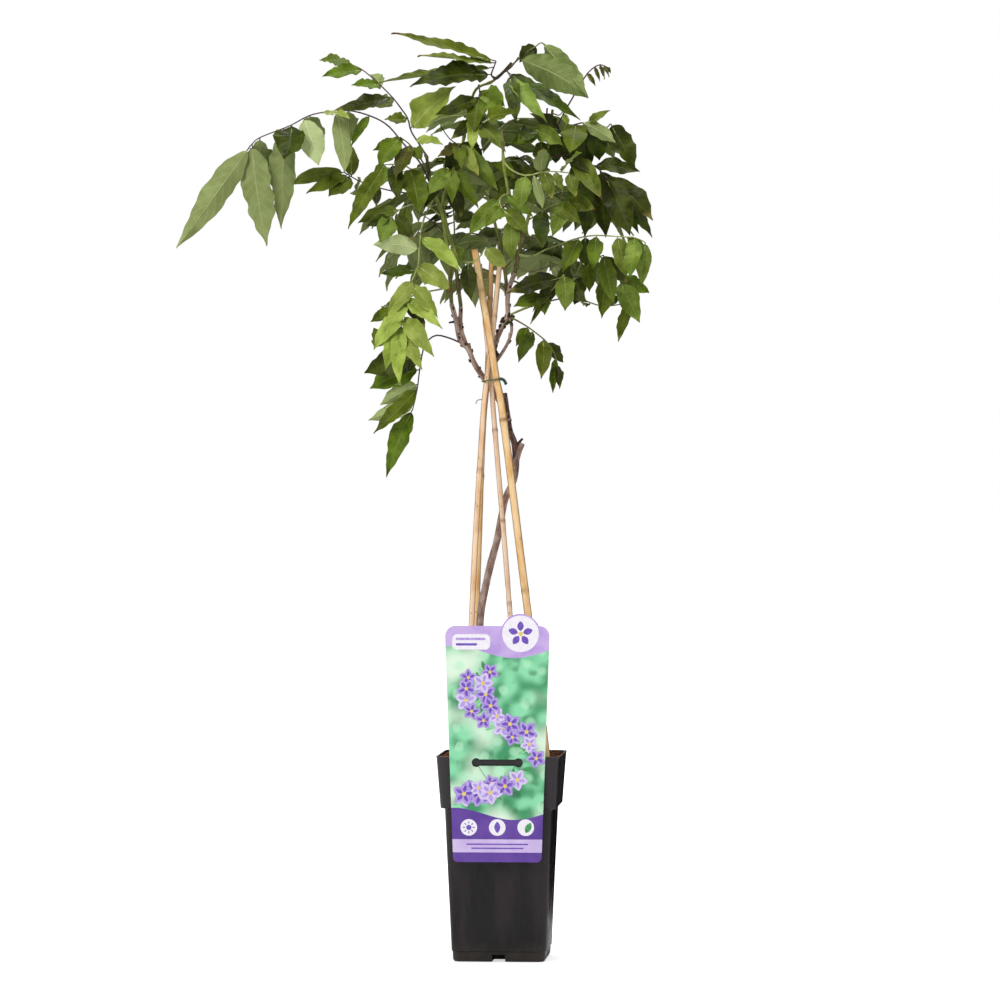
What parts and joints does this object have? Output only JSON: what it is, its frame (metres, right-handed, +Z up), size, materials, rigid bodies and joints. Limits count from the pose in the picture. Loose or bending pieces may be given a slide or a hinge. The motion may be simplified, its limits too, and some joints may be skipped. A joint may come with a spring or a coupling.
{
  "type": "potted wisteria plant",
  "caption": "Young climbing plant with pinnate leaves, tied to thin canes in a tall square plastic pot with a hanging picture card.",
  "frame": {"origin": "middle of the pot's base, on the surface that the pot stands on", "axes": "+Z up along the pot's axis, -Y towards the pot side that carries the card, +X to that side's right"},
  "size_m": [0.4005, 0.2566, 0.784],
  "materials": {
    "pot": "satin",
    "soil": "matte",
    "cane": "satin",
    "tie": "satin",
    "label": "satin",
    "bark": "matte",
    "shoot": "matte",
    "leaf_dark": "satin",
    "leaf_mid": "satin",
    "leaf_bright": "satin",
    "leaf_yellow": "satin"
  },
  "bodies": {
    "root": {"pot": "pot", "soil": "soil", "label": "label", "tie": "tie", "wood": "bark", "cane_front": "cane", "cane_left": "cane", "cane_back": "cane", "cane_right": "cane", "shoot_left": "shoot", "shoot_tall": "shoot", "shoot_right": "shoot", "shoot_back": "shoot", "shoot_front": "shoot", "leaf_far_left": "leaf_mid", "leaf_top_left": "leaf_mid", "leaf_tip_left": "leaf_dark", "leaf_tip_low": "leaf_mid", "leaf_tip_right": "leaf_mid", "leaf_top_right": "leaf_mid", "leaf_young": "leaf_yellow", "leaf_right_upper": "leaf_mid", "leaf_right_dark": "leaf_dark", "leaf_right_row": "leaf_bright", "leaf_right_low": "leaf_mid", "leaf_right_bottom": "leaf_mid", "leaf_right_wavy": "leaf_mid", "leaf_right_petiole": "leaf_bright", "leaf_small_right": "leaf_mid", "leaf_front_row": "leaf_bright", "leaf_front_middle": "leaf_bright", "leaf_front_right": "leaf_bright", "leaf_cane_top": "leaf_yellow", "leaf_yellow": "leaf_yellow", "leaf_lower_left": "leaf_dark", "leaf_left_behind": "leaf_dark", "leaf_left_lobes": "leaf_mid", "leaf_left_cluster": "leaf_mid", "leaf_left_hanging": "leaf_mid", "leaf_left_inner": "leaf_bright", "leaf_tall_inner": "leaf_bright", "leaf_tall_middle": "leaf_bright", "leaf_tall_upper": "leaf_mid", "leaf_middle_upper": "leaf_mid", "leaf_middle_dark": "leaf_dark", "spray_back_1": "leaf_mid", "spray_back_2": "leaf_dark", "spray_back_3": "leaf_bright", "spray_back_4": "leaf_mid", "spray_back_5": "leaf_mid", "spray_back_6": "leaf_dark", "spray_back_7": "leaf_bright", "spray_back_8": "leaf_dark", "spray_side_1": "leaf_mid", "spray_side_2": "leaf_mid", "spray_inner_1": "leaf_dark", "spray_inner_2": "leaf_dark", "spray_inner_3": "leaf_mid", "spray_inner_4": "leaf_mid", "spray_side_3": "leaf_dark"}
  },
  "joints": []
}
